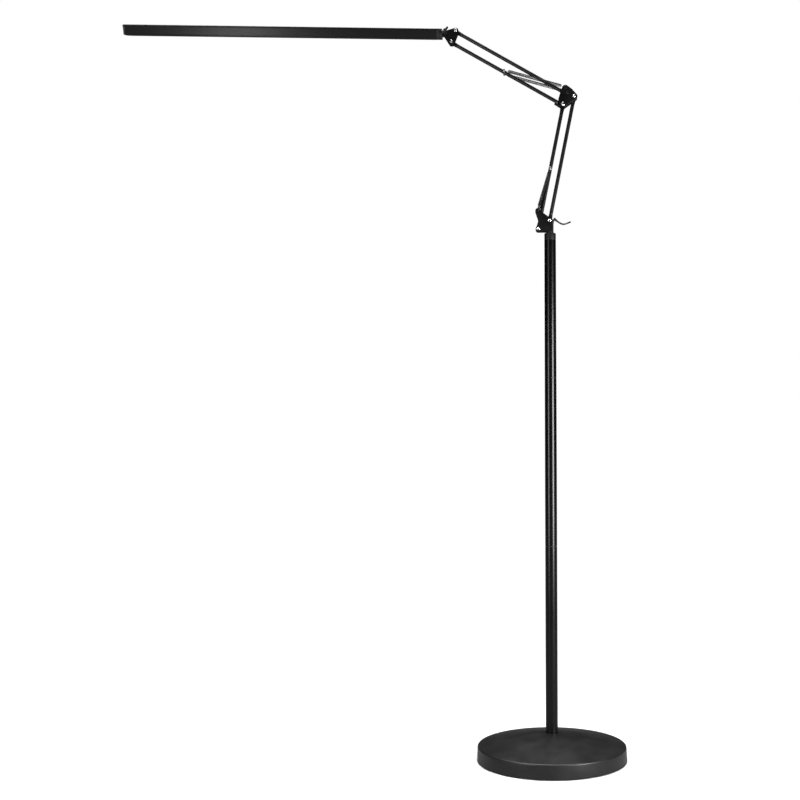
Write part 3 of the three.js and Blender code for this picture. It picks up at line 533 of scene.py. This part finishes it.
def make_cord():
    """One lead from the swivel down behind the pole, over the base and into its coil and plug."""
    points = [Vector(p) for p in CORD_ROUTE] + coil_points()[1:] + [Vector(p) for p in CORD_TAIL]
    path = through([p * MM for p in points], 2.5 * MM)
    piece = new_mesh_object("cord", sweep(path, CORD_RADIUS, 12), FINISHES["cord_pvc"], 60)
    make_plug()
    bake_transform(piece)
    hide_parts("cord_upper", "cord_drop", "cord_foot", "cord_coil", "cord_tail")


make_cord()
make_outlet()

# ---- Base ----

RIM_HEIGHT = 29.5 * MM
COVER_WALL = 2 * MM
DOME_FLAT_RADIUS = 15 * MM
DOME_POWER = 1.25


def make_base():
    low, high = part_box("base_cover")
    radius, foot, top = high.x, low.z, high.z
    rim, fillet, wall, taper = RIM_HEIGHT, 3 * MM, COVER_WALL, 1 * MM
    dome_edge = radius - taper - fillet
    flat = DOME_FLAT_RADIUS
    crown = (top - rim) / (1 - (flat / dome_edge) ** DOME_POWER)

    def dome(drop, steps=30):
        edge = dome_edge - drop
        radii = [mix(edge, flat, k / steps) for k in range(steps + 1)]
        return [(r, rim + crown * (1 - (r / dome_edge) ** DOME_POWER) - drop) for r in radii]

    side = radius - taper
    outer = [(radius, foot), (radius, foot + 0.8 * MM), (side, rim - fillet)]
    for k in range(1, 7):
        a = QUARTER * k / 7
        outer.append((side - fillet * (1 - math.cos(a)), rim - fillet * (1 - math.sin(a))))
    hole = 5.2 * MM
    inner = [(hole, top - wall), *reversed(dome(wall)), (side - wall, rim - fillet - wall),
             (side - wall, foot)]
    shell = lathe([*inner, *outer, *dome(0), (hole, top)], 160, closed=True)
    add("base_shell", shell, "stand", "base_paint", ["base_cover"], crease=40)

    low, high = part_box("base_pad")
    edge, height = high.x, high.z - low.z
    grooves = []
    for k in range(6):
        r = edge * (1 - 0.15 * k) - 6 * MM
        grooves += [(r - 2 * MM, 0), (r - 1.4 * MM, 0.5 * MM), (r - 0.6 * MM, 0.5 * MM), (r, 0)]
    bottom = [(0, 0)] + [p for k in range(6) for p in grooves[4 * (5 - k):4 * (5 - k) + 4]]
    pad = lathe([*bottom, (edge - 1 * MM, 0), (edge, 1 * MM), (edge, height), (0, height)], 128)
    add("base_pad_ringed", pad, "stand", "rubber", ["base_pad"])


# ---- Pole ----


def make_pole():
    for name in ("pole_lower", "pole_middle", "pole_upper"):
        low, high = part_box(name)
        r, inner = high.x, high.x - 1.5 * MM
        lip = 0.4 * MM
        profile = [(inner, low.z), (r - lip, low.z), (r, low.z + lip), (r, high.z - lip), (r - lip, high.z),
                   (inner, high.z)]
        add(f"{name}_tube", lathe(profile, 72, closed=True), "stand", "pole_paint", [name])

    low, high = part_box("pole_collar")
    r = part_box("pole_upper")[1].x
    plug = r - 1.8 * MM
    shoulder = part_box("pole_upper")[1].z + GAP
    hole = 6.3 * MM
    groove = shoulder + 3.4 * MM
    profile = [(hole, low.z), (plug, low.z), (plug, shoulder), (r - 0.3 * MM, shoulder),
               (r, shoulder + 0.3 * MM), (r, groove), (r - 0.5 * MM, groove + 0.3 * MM),
               (r - 0.5 * MM, groove + 0.9 * MM), (r, groove + 1.2 * MM), (r, high.z - 1.2 * MM),
               (r - 0.35 * MM, high.z - 0.35 * MM), (r - 1.2 * MM, high.z), (hole, high.z)]
    add("collar_moulding", lathe(profile, 72, closed=True), "stand", "black_plastic", ["pole_collar"])


# ---- Brackets ----

PLATE_NEAR, PLATE_FAR = 4.5 * MM, 6.5 * MM
STUD_REACH = 13.2 * MM


def rivet_part(pivot):
    """A shank with a ringed, dimpled head at each end."""
    inner, outer = PLATE_FAR + GAP, PLATE_FAR + GAP + 1.5 * MM
    head = [(3.7 * MM, inner), (3.7 * MM, inner + 0.55 * MM), (3.35 * MM, outer - 0.35 * MM),
            (2.7 * MM, outer - 0.02 * MM), (2.1 * MM, outer), (1.5 * MM, outer - 0.35 * MM),
            (0.8 * MM, outer - 0.5 * MM), (0, outer - 0.52 * MM)]
    shank = 2 * MM
    ends = [(shank, inner), *rounded(head, 0.15 * MM, 2)]
    mirrored = [(r, -z) for r, z in reversed(ends)]
    return placed(lathe([*mirrored, *ends], 40), facing_y(pivot, 1))


def stud_part(pivot, side):
    """A turned stud with a groove that keeps a spring hook."""
    tip = STUD_REACH
    profile = [(0, PLATE_FAR - 0.5 * MM), (2.6 * MM, PLATE_FAR - 0.5 * MM), (2.6 * MM, PLATE_FAR + 0.5 * MM),
               (1.5 * MM, PLATE_FAR + 0.9 * MM), (1.5 * MM, tip - 1.2 * MM), (2.4 * MM, tip - 1.1 * MM),
               (2.4 * MM, tip - 0.4 * MM), (2.0 * MM, tip), (0, tip)]
    return placed(lathe(profile, 32), facing_y(pivot, side))


def make_cheeks(name, outline, holes, body, stud=None):
    for place, side in (("front", -1), ("rear", 1)):
        near, far = sorted((side * PLATE_NEAR, side * PLATE_FAR))
        rims = [circle(p.x, p.z, r) for p, r in holes]
        parts = [plate([belt(outline), *rims], near, far)]
        if stud:
            parts.append(stud_part(stud, side))
        node = f"{name}_{place}"
        add(f"{node}_plate", join(*parts), body, "arm_paint", [node])


def make_rivets():
    for node, pivot, body in (
        ("lower_rivet_left", LOWER_LEFT, "arm_swivel"),
        ("lower_rivet_right", LOWER_RIGHT, "arm_swivel"),
        ("elbow_rivet_right", ELBOW_RIGHT, "elbow"),
        ("elbow_rivet_high", ELBOW_HIGH, "elbow"),
        ("head_rivet_low", HEAD_LOW, "head_bracket"),
        ("head_rivet_high", HEAD_HIGH, "head_bracket"),
    ):
        # the high elbow rivet is painted with its bracket
        finish = FINISHES["arm_paint"] if node == "elbow_rivet_high" else None
        add(f"{node}_head", rivet_part(pivot), body, "chrome", [node], material=finish)


LOWER_STUD = LOWER_LEFT + Vector((-1, 0, 40.5)) * MM
UPPER_STUD = ELBOW_LOW + Vector((5, 0, 37.5)) * MM
RIVET_HOLE = 2.3 * MM
CLAMP_HOLE = 2.8 * MM


def near_pivot(pivot, dx, dz, radius):
    """A circle of an outline, placed from a pivot in millimetres."""
    return (pivot.x + dx * MM, pivot.z + dz * MM, radius * MM)


def make_swivel():
    pole_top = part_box("pole_collar")[1].z
    low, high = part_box("swivel_post")
    pin, post, flange = 6 * MM, 7.5 * MM, pole_top + GAP
    turned = [(0, low.z), (pin - 1 * MM, low.z), (pin, low.z + 1 * MM), (pin, flange), (post, flange),
              (post, flange + 2.4 * MM), (post - 0.6 * MM, flange + 3 * MM), (0, flange + 3 * MM)]
    blade = plate([belt([(-5.5 * MM, flange + 4 * MM, 2 * MM), (5.5 * MM, flange + 4 * MM, 2 * MM),
                         (5.5 * MM, high.z - 2 * MM, 2 * MM), (-5.5 * MM, high.z - 2 * MM, 2 * MM)])],
                  -4.2 * MM, 4.2 * MM, 0.5 * MM)
    add("swivel_core", join(lathe(turned, 56), blade), "arm_swivel", "black_plastic", ["swivel_post"])

    outline = [
        near_pivot(LOWER_LEFT, 0, 0, 5.8),
        (3.1 * MM, pole_top + 5.5 * MM, 1.5 * MM),
        near_pivot(LOWER_RIGHT, 0, 0, 5.5),
        near_pivot(LOWER_LEFT, 12.6, 42.3, -7),
        near_pivot(LOWER_STUD, 0, 0, 5.5),
        near_pivot(LOWER_LEFT, -20.2, 17.5, -20),
    ]
    make_cheeks("lower_cheek", outline, [(LOWER_LEFT, RIVET_HOLE), (LOWER_RIGHT, RIVET_HOLE)],
                "arm_swivel", LOWER_STUD)


def make_elbow():
    outline = [
        near_pivot(ELBOW_LOW, 0, 0, 6.7),
        near_pivot(ELBOW_RIGHT, 0, 0, 7.2),
        near_pivot(ELBOW_LOW, 13.5, 30, 8),
        near_pivot(UPPER_STUD, 0, 0, 7),
        near_pivot(ELBOW_LOW, 0, 27, 6),
        near_pivot(ELBOW_LOW, -4, 11, 6.5),
    ]
    holes = [(ELBOW_LOW, CLAMP_HOLE), (ELBOW_RIGHT, RIVET_HOLE), (ELBOW_HIGH, RIVET_HOLE)]
    make_cheeks("elbow_cheek", outline, holes, "elbow", UPPER_STUD)


def make_head_bracket():
    outline = [near_pivot(HEAD_LOW, 0, 0, 6.1), near_pivot(HEAD_HIGH, 0, 0, 6.3), near_pivot(TILT, 0, 0, 5)]
    holes = [(HEAD_LOW, RIVET_HOLE), (HEAD_HIGH, RIVET_HOLE), (TILT, CLAMP_HOLE)]
    make_cheeks("head_cheek", outline, holes, "head_bracket")


# ---- Clamp bolts and hand nuts ----

NUT_TOP = 21.5 * MM
WING_HEIGHT, WING_HALF = 18.9 * MM, 2.6 * MM


def make_clamp(node, pivot, nut_side, body):
    """A bolt with a domed socket head on one side and its thread on the other."""
    seat, head, tip = PLATE_FAR + GAP, 4.4 * MM, NUT_TOP - 2 * MM
    top = seat + 2.6 * MM
    cap = [(0, top - 1.1 * MM), (1.5 * MM, top - 1.1 * MM), (1.6 * MM, top), (2.4 * MM, top),
           (head - 0.7 * MM, top - 0.35 * MM), (head, top - 1.1 * MM), (head, seat)]
    thread = [(2.5 * MM, seat)]
    turns = 14
    for k in range(turns):
        z = mix(seat + 0.6 * MM, -tip + 1 * MM, k / turns)
        thread += [(2.5 * MM, z), (2.25 * MM, z - 0.5 * MM)]
    profile = [(r, -z) for r, z in [*cap, *thread, (2.1 * MM, -tip), (0, -tip)]]
    add(f"{node}_turned", placed(lathe(profile, 40), facing_y(pivot, nut_side)), body, "chrome", [node])


def make_hand_nut(node, pivot, side, start, end, angle, body):
    """A moulded nut: a ribbed hub and soft flat wings from start to end along X."""
    foot, hub = PLATE_FAR + GAP, 4.6 * MM
    waist = foot + 3 * MM
    profile = [(2.8 * MM, foot), (hub, foot), (hub, waist), (hub - 0.5 * MM, waist + 0.5 * MM),
               (hub - 0.5 * MM, NUT_TOP - 2 * MM), (hub - 1.6 * MM, NUT_TOP - 0.2 * MM),
               (2.8 * MM, NUT_TOP)]
    core = lathe([*rounded(profile, 0.5 * MM, 3), (2.8 * MM, NUT_TOP - 0.6 * MM)], 48, closed=True)
    middle, half = WING_HEIGHT, WING_HALF
    outline = [(start + half, middle, half), (0, middle - 1.6 * MM, half), (end - half, middle, half),
               (0, middle + 0.2 * MM, half)]
    if start > -8 * MM:
        outline = [(start + half, middle, half), (end - half, middle, half)]
    wings = plate([belt(outline)], -1.7 * MM, 1.7 * MM, 1.1 * MM)
    upright = Matrix.Rotation(-side * QUARTER, 4, "X")
    turn = Matrix.Translation(pivot) @ Matrix.Rotation(-angle, 4, "Y") @ upright
    add(f"{node}_moulded", placed(join(core, wings), turn), body, "black_plastic", [node])


# ---- Arms ----

TUBE_RADIUS = 4 * MM
TONGUE_RADIUS = 4.6 * MM


def arm_tube_part(start, end, laps):
    """A round tube whose ends are pressed flat round their pivots."""
    length = (end - start).length
    stations = [-TONGUE_RADIUS * math.cos(QUARTER * k / 8) for k in range(8)]
    stations += [k * 1.5 * MM for k in range(15)]
    stations += [length * k / 8 for k in range(1, 8)]
    stations += [length - z for z in reversed(stations[:23])]
    rings = []
    for z in stations:
        depth = min(z, length - z)
        lap = laps[0] if z < length / 2 else laps[1]
        flat = 1 - smoothstep((depth - 9 * MM) / (8 * MM))
        wide = mix(TUBE_RADIUS, TONGUE_RADIUS, flat)
        if depth < 0:
            wide = max(0.3 * MM, math.sqrt(max(0, TONGUE_RADIUS ** 2 - depth ** 2)))
        thick = mix(TUBE_RADIUS, 1 * MM, flat)
        power = mix(2, 5, flat)
        shift = lap * 1.2 * MM * flat
        ring = [squircle(wide, thick, TURN * k / 28, power, z) for k in range(28)]
        rings.append([p + Vector((0, shift, 0)) for p in ring])
    return placed(loft(rings), link_frame(start, end))


def pin_part(start, end, distance):
    """A cross pin through a tube, grooved for a spring hook on each side."""
    tip = STUD_REACH
    half = [(2.2 * MM, 4.2 * MM), (2.2 * MM, 5.2 * MM), (1.5 * MM, 5.5 * MM), (1.5 * MM, tip - 1.2 * MM),
            (2.4 * MM, tip - 1.1 * MM), (2.4 * MM, tip - 0.4 * MM), (2.0 * MM, tip), (0, tip)]
    profile = [(r, -z) for r, z in reversed(half)] + half
    spot = link_frame(start, end) @ Vector((0, 0, distance))
    return placed(lathe(profile, 32), facing_y(spot, 1))


SPRING_SIDE = 10.5 * MM
SPRING_RADIUS = 3.1 * MM
WIRE_RADIUS = 0.42 * MM
SPRING_PITCH = 1.12 * MM
HOOK_LENGTH = 11 * MM
HOOK_RADIUS = 2.05 * MM
# Where each part of a spring ends, as a share of its length, with a turn for each that nothing here reads: (share,
# turn)
SPRING_TURN = [(0.0, 0.0), (0.06, 0.2), (0.25, 0.53), (0.5, 0.78), (0.75, 0.917), (1.0, 1.0)]


def spring_path(start, end):
    """The wire of a tension spring: a hook, close turns, and a hook."""
    length = (end - start).length
    axis = (end - start).normalized()
    across = axis.cross(Y_AXIS)
    hook = []
    for k in range(17):
        angle = math.radians(mix(200, -20, k / 16)) + math.pi
        hook.append((-HOOK_RADIUS * math.cos(angle), HOOK_RADIUS * math.sin(angle), 0.0))
    coil_start, coil_end = HOOK_LENGTH - 2 * MM, length - HOOK_LENGTH + 2 * MM
    turns = round((coil_end - coil_start) / SPRING_PITCH)
    coil = []
    for k in range(turns * 12 + 1):
        share = k / (turns * 12)
        ends = min(1.0, share * turns, (1 - share) * turns)
        radius = SPRING_RADIUS * smoothstep(ends)
        angle = TURN * share * turns
        coil.append((mix(coil_start, coil_end, share), radius * math.cos(angle), radius * math.sin(angle)))
    far_hook = [(length - s, a, b) for s, a, b in reversed(hook)]
    return [start + axis * s + across * a + Y_AXIS * b for s, a, b in [*hook, *coil, *far_hook]]


def make_spring(node, start, end, side):
    """A wound spring in stretches, cut where the shares of SPRING_TURN end."""
    offset = Vector((0, side * SPRING_SIDE, 0))
    start, end = start + offset, end + offset
    axis, length = (end - start).normalized(), (end - start).length
    path = spring_path(start, end)
    shares = [(p - start).dot(axis) / length for p in path]
    first = 0
    for k, ((s0, w0), (s1, w1)) in enumerate(zip(SPRING_TURN, SPRING_TURN[1:])):
        last = len(path) - 1
        if k < len(SPRING_TURN) - 2:
            last = next(i for i in range(first + 20, len(path)) if shares[i] >= s1)
        part = sweep(path[first:last + 1], WIRE_RADIUS, 6)
        piece = new_mesh_object(f"{node}_wire_{k + 1}", part, FINISHES["spring_steel"], 70)
        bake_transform(piece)
        if k == 0:
            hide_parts(node)
        first = last


def make_arm(name, sprung, plain, stud, pin_distance):
    """sprung and plain are (node, body, start, end, laps)."""
    for node, body, start, end, laps in (sprung, plain):
        add(f"{node}_round", arm_tube_part(start, end, laps), body, "arm_paint", [node], crease=50)
    _, body, start, end, _ = sprung
    pin_node = f"{name}_spring_pin"
    add(f"{pin_node}_turned", pin_part(start, end, pin_distance), body, "zinc", [pin_node])
    pin = link_frame(start, end) @ Vector((0, 0, pin_distance))
    for place, side in (("front", -1), ("rear", 1)):
        make_spring(f"{name}_spring_{place}", stud, pin, side)


def make_arms():
    make_arm("lower", ("lower_tube_left", "lower_link_left", LOWER_LEFT, ELBOW_LOW, (0, -1)),
             ("lower_tube_right", "lower_link_right", LOWER_RIGHT, ELBOW_RIGHT, (0, 0)),
             LOWER_STUD, 136 * MM)
    make_arm("upper", ("upper_tube_low", "upper_link_low", ELBOW_LOW, HEAD_LOW, (1, 0)),
             ("upper_tube_high", "upper_link_high", ELBOW_HIGH, HEAD_HIGH, (0, 0)),
             UPPER_STUD, 150 * MM)


# ---- Lamp head ----

BAR_START = 7.5 * MM
BAR_LENGTH = 703 * MM
INNER_CAP = 12 * MM
OUTER_CAP = 4 * MM
BAR_DEPTH = 26 * MM
BAR_HEIGHT = 22 * MM
BAR_LEG = 2.3 * MM
BAR_WEB = 3 * MM
NECK_RADIUS = 4.5 * MM


def along_bar(outlines, start, end, bevel):
    """A piece whose (y, z) outlines run along the bar from x start to x end."""
    part = plate(outlines, end, start, bevel)
    return placed(part, Matrix.Rotation(QUARTER, 4, "Z") @ Matrix.Scale(-1, 4, (0, 1, 0)))


def bar_ring(grow=0.0):
    """The bar's outside, a rounded rectangle."""
    corner = 3.5 * MM
    y, z = BAR_DEPTH / 2 - corner, BAR_HEIGHT / 2 - corner
    return belt([(sy * y, sz * z, corner + grow) for sy, sz in ((-1, -1), (1, -1), (1, 1), (-1, 1))])


def channel():
    """The bar's hollow section, open below, with a shallow groove along each face."""
    top = [p for p in bar_ring() if p[1] > 4 * MM]
    top.sort(key=lambda p: math.atan2(p[1], p[0]))
    wall, foot = BAR_DEPTH / 2, -BAR_HEIGHT / 2
    inner, web = wall - BAR_LEG, BAR_HEIGHT / 2 - BAR_WEB
    groove = 0.35 * MM

    def face(side):
        """The outline of one leg's outside, from its foot up."""
        return [(side * (wall - 1 * MM), foot), (side * (wall - 0.3 * MM), foot + 0.3 * MM),
                (side * wall, foot + 1 * MM), (side * wall, foot + 1.6 * MM),
                (side * (wall - groove), foot + 1.9 * MM), (side * (wall - groove), foot + 2.3 * MM),
                (side * wall, foot + 2.6 * MM), (side * wall, foot + 16 * MM)]

    return [(-6.5 * MM, web), (6.5 * MM, web), (inner, 4.5 * MM), (inner, foot), *face(1), *top,
            *reversed(face(-1)), (-inner, foot), (-inner, 4.5 * MM)]


def cross_screw(face, way):
    """A pan-head screw with a crossed recess, looking along the bar."""
    arm, width = 1.45 * MM, 0.28 * MM
    cross = [(width, width), (arm, width), (arm, -width), (width, -width), (width, -arm), (-width, -arm),
             (-width, -width), (-arm, -width), (-arm, width), (-width, width), (-width, arm), (width, arm)]
    head = plate([circle(0, 0, 2.2 * MM, 40), cross], -1.1 * MM, -0.5 * MM, 0.15 * MM)
    base = lathe([(0, -18 * MM), (1.1 * MM, -18 * MM), (1.1 * MM, GAP), (2.2 * MM, GAP),
                  (2.2 * MM, 0.55 * MM), (0, 0.55 * MM)], 40)
    turned = join(placed(head, Matrix.Rotation(-QUARTER, 4, "X")), base)
    return placed(turned, Matrix.Translation((face, 0, 0)) @ Matrix.Rotation(way * QUARTER, 4, "Y"))


def make_head():
    tilt = math.atan2(ROLL_AXIS.z, -ROLL_AXIS.x)
    head = Matrix.Translation(TILT) @ Matrix.Rotation(tilt, 4, "Y")
    bar = head @ Matrix.Rotation(HEAD_ROLL, 4, "X")
    start, end = -BAR_START, -BAR_START - BAR_LENGTH
    inner_face, outer_face = start - INNER_CAP, end + OUTER_CAP
    port_y, port_z, port = 9.9 * MM, 7.5 * MM, 1.4 * MM
    ports = [circle(side * port_y, port_z, port, 20) for side in (-1, 1)]

    profile = along_bar([channel(), *ports], inner_face - GAP, outer_face + GAP, 0.15 * MM)
    add("bar_channel", placed(profile, bar), "lamp_head", "anodised", ["head_profile"], crease=25)
    neck_hole = circle(0, 0, NECK_RADIUS + GAP, 40)
    inner_cap = along_bar([bar_ring(), *ports, neck_hole], start, inner_face, 0.7 * MM)
    add("bar_cap_inner", placed(inner_cap, bar), "lamp_head", "black_plastic", ["head_cap_inner"])
    outer_cap = along_bar([bar_ring(), *ports], outer_face, end, 0.7 * MM)
    add("bar_cap_outer", placed(outer_cap, bar), "lamp_head", "black_plastic", ["head_cap_outer"])
    for face, way, place in ((start, 1, "inner"), (end, -1, "outer")):
        for row, side in (("front", -1), ("rear", 1)):
            node = f"cap_screw_{place}_{row}"
            spot = bar @ Matrix.Translation((0, side * port_y, port_z))
            add(f"{node}_crossed", placed(cross_screw(face, way), spot), "lamp_head", "zinc", [node])

    eye = plate([belt([(0, 0, 6 * MM), (-3.6 * MM, 0, 5.6 * MM)]), circle(0, 0, CLAMP_HOLE)],
                -4.2 * MM, 4.2 * MM, 0.5 * MM)
    neck = INNER_CAP + BAR_START
    stub = lathe([(0, 3.6 * MM), (4.1 * MM, 3.6 * MM), (NECK_RADIUS, 7 * MM),
                  (NECK_RADIUS, neck + 2 * GAP), (6 * MM, neck + 1 * MM), (6 * MM, neck + 4 * MM),
                  (0, neck + 4 * MM)], 48)
    knuckle = join(eye, placed(stub, Matrix.Rotation(-QUARTER, 4, "Y")))
    add("knuckle_cast", placed(knuckle, head), "head_knuckle", "black_plastic", ["head_knuckle"])

    lens = -BAR_HEIGHT / 2 + 2 * MM
    half = BAR_DEPTH / 2 - BAR_LEG - GAP
    cover = along_bar([belt([(-half + 0.6 * MM, lens + 0.6 * MM, 0.6 * MM),
                             (half - 0.6 * MM, lens + 0.6 * MM, 0.6 * MM),
                             (half - 0.6 * MM, lens + 1.4 * MM, 0.6 * MM),
                             (-half + 0.6 * MM, lens + 1.4 * MM, 0.6 * MM)])],
                      inner_face - 2 * GAP, outer_face + 2 * GAP, 0.2 * MM)
    add("light_cover", placed(cover, bar), "lamp_head", "opal", ["diffuser"])

    web = BAR_HEIGHT / 2 - BAR_WEB
    chips = []
    count = 56
    for k in range(count):
        x = mix(end + 22 * MM, inner_face - 84 * MM, k / (count - 1))
        chip = rounded_box(3.4 * MM, 2.8 * MM, 0, 0.8 * MM, 0.15 * MM, 2, 16)
        chips.append(placed(chip, bar @ Matrix.Translation((x, 0, web - 2.9 * MM))))
    add("led_chips", join(*chips), "lamp_head", "circuit", material=PHOSPHOR)


def finish_kept_nodes():
    """CAD nodes that stay shown get their slot's finish and a small rounding on their edges."""
    slots = {row["node"]: row["material_slot"] for row in frame["record"]["subparts"]}
    for name, node in frame["nodes"].items():
        if node.hide_render:
            continue
        node.data.materials.clear()
        node.data.materials.append(FINISHES[slots[name]])
        rounding = node.modifiers.new("rounding", "BEVEL")
        rounding.width = 0.25 * MM
        rounding.segments = 2
        rounding.limit_method = "ANGLE"
        rounding.angle_limit = math.radians(40)


make_base()
make_pole()
make_swivel()
make_elbow()
make_head_bracket()
make_rivets()
make_clamp("elbow_clamp_bolt", ELBOW_LOW, 1, "elbow")
make_clamp("head_clamp_bolt", TILT, -1, "head_bracket")
make_hand_nut("elbow_lever_nut", ELBOW_LOW, 1, -4 * MM, 22 * MM, math.radians(146), "elbow_nut")
make_hand_nut("head_wing_nut", TILT, -1, -10 * MM, 10 * MM, math.radians(50), "head_nut")
make_arms()
make_head()
finish_kept_nodes()

# ---- Floor and light ----


def make_floor():
    material, tree, shader = new_shader("floor", 0.85)
    tone = ramp(tree, noise_field(tree, 1.5), [(0.3, 0.84), (0.7, 0.87)])
    # only the camera sees the floor pale, so that it does not wash out the black finishes
    seen = tree.nodes.new("ShaderNodeLightPath")
    choose = tree.nodes.new("ShaderNodeMix")
    choose.data_type = "RGBA"
    sockets = {socket.identifier: socket for socket in (*choose.inputs, *choose.outputs)}
    sockets["A_Color"].default_value = (0.24, 0.24, 0.24, 1)
    tree.links.new(seen.outputs["Is Camera Ray"], choose.inputs["Factor"])
    tree.links.new(tone, sockets["B_Color"])
    tree.links.new(sockets["Result_Color"], shader.inputs["Base Color"])
    bump(tree, shader, noise_field(tree, 900), 0.02 * MM)
    disc = lathe([(0, -12 * MM), (40, -12 * MM), (40, -0.2 * MM), (0, -0.2 * MM)], 64)
    floor = new_mesh_object("floor", disc, material)


def add_softbox(name, place, target, width, height, power):
    lamp = bpy.data.lights.new(name, "AREA")
    lamp.shape = "RECTANGLE"
    lamp.size, lamp.size_y, lamp.energy = width, height, power
    box = bpy.data.objects.new(name, lamp)
    box.location = place
    box.rotation_euler = (Vector(target) - Vector(place)).to_track_quat("-Z", "Y").to_euler()
    scene.collection.objects.link(box)


def make_light():
    world = bpy.data.worlds.new("studio")
    world.use_nodes = True
    tree = world.node_tree
    seen = tree.nodes.new("ShaderNodeLightPath")
    white = tree.nodes["Background"]
    white.inputs["Color"].default_value = (1, 1, 1, 1)
    dim = tree.nodes.new("ShaderNodeBackground")
    dim.inputs["Color"].default_value = (0.02, 0.02, 0.021, 1)
    choose = tree.nodes.new("ShaderNodeMixShader")
    tree.links.new(seen.outputs["Is Camera Ray"], choose.inputs["Fac"])
    tree.links.new(dim.outputs["Background"], choose.inputs[1])
    tree.links.new(white.outputs["Background"], choose.inputs[2])
    tree.links.new(choose.outputs["Shader"], tree.nodes["World Output"].inputs["Surface"])
    scene.world = world
    sun = bpy.data.lights.new("ceiling", "SUN")
    sun.energy, sun.angle = 3.95, math.radians(50)
    ceiling = bpy.data.objects.new("ceiling", sun)
    ceiling.rotation_euler = (math.radians(-8), math.radians(-6), 0)
    scene.collection.objects.link(ceiling)
    add_softbox("key", (-1.9, -2.4, 2.3), (-0.2, 0, 0.9), 1.2, 1.2, 12)
    add_softbox("right_panel", (1.22, -1.2, 0.78), (0, 0, 0.7), 0.6, 0.9, 60)
    add_softbox("left_panel", (-1.16, -1.24, 0.78), (0, 0, 0.7), 0.35, 0.9, 15)
    scene.view_settings.view_transform = "Standard"


make_floor()
make_light()
